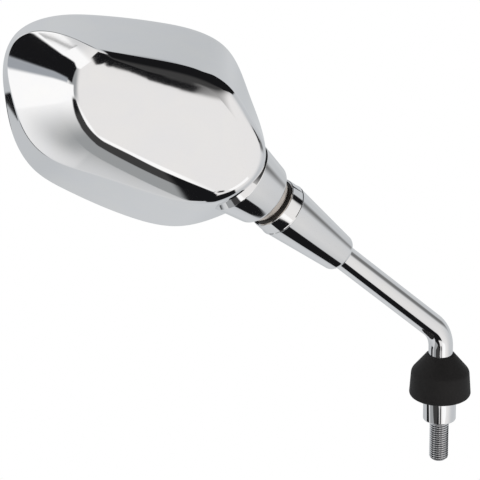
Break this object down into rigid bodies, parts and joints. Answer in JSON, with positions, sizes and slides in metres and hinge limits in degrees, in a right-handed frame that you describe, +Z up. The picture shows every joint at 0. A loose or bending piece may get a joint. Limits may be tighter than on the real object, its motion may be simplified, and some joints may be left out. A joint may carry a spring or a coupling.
{
  "type": "motorcycle mirror",
  "caption": "Chromed motorcycle rear-view mirror: sculpted head on a ball joint, conical sleeve, bent round stem with a rubber boot, and a threaded stud that screws into a clamp.",
  "frame": {"origin": "on the stud's axis, on the seat under the round shoulder", "axes": "+Z up the stud's axis, -X the way the bent stem rises, +Y roughly the way the glass looks"},
  "size_m": [0.2161, 0.0978, 0.2439],
  "materials": {
    "chrome_metal": "polished chrome plate",
    "chrome_housing": "polished chrome plate on a moulding",
    "black_rubber": "matt moulded rubber",
    "zinc_steel": "zinc plate",
    "white_nylon": "natural nylon",
    "dark_nylon": "matt nylon",
    "black_plastic": "fine grain",
    "black_foam": "foam tape",
    "mirror_glass": "silvered glass"
  },
  "bodies": {
    "base": {"adaptor_stud": "chrome_metal"},
    "stem": {"stem_rod": "chrome_metal", "lock_nut": "zinc_steel", "lock_washer": "zinc_steel", "stem_sleeve": "chrome_metal", "spring_disc_lower": "zinc_steel", "spring_disc_upper": "zinc_steel", "spring_washer": "zinc_steel", "joint_nut": "zinc_steel", "nut_insert": "white_nylon"},
    "boot": {"rubber_boot": "black_rubber"},
    "seat": {"seat_washer": "zinc_steel"},
    "liner": {"friction_liner": "dark_nylon"},
    "head": {"housing_shell": "chrome_housing", "glass_carrier": "black_plastic", "glass_pad": "black_foam", "mirror_glass": "mirror_glass"}
  },
  "joints": [
    {"name": "stem_swivel", "type": "hinge", "parent": "base", "child": "stem", "pos_m": [0, 0, 0], "axis": [0, 0, 1], "continuous": true},
    {"name": "boot_slide", "type": "slide", "parent": "stem", "child": "boot", "axis": [0, 0, 1], "range_m": [0, 0.004]},
    {"name": "head_spin", "type": "hinge", "parent": "stem", "child": "seat", "pos_m": [-0.10255, 0, 0.14093], "axis": [-0.7431, 0, 0.6691], "continuous": true},
    {"name": "head_tilt", "type": "hinge", "parent": "seat", "child": "liner", "pos_m": [-0.10255, 0, 0.14093], "axis": [0, 1, 0], "range_deg": [-10, 10]},
    {"name": "head_pan", "type": "hinge", "parent": "liner", "child": "head", "pos_m": [-0.10255, 0, 0.14093], "axis": [0.6691, 0, 0.7431], "range_deg": [-10, 10]}
  ]
}
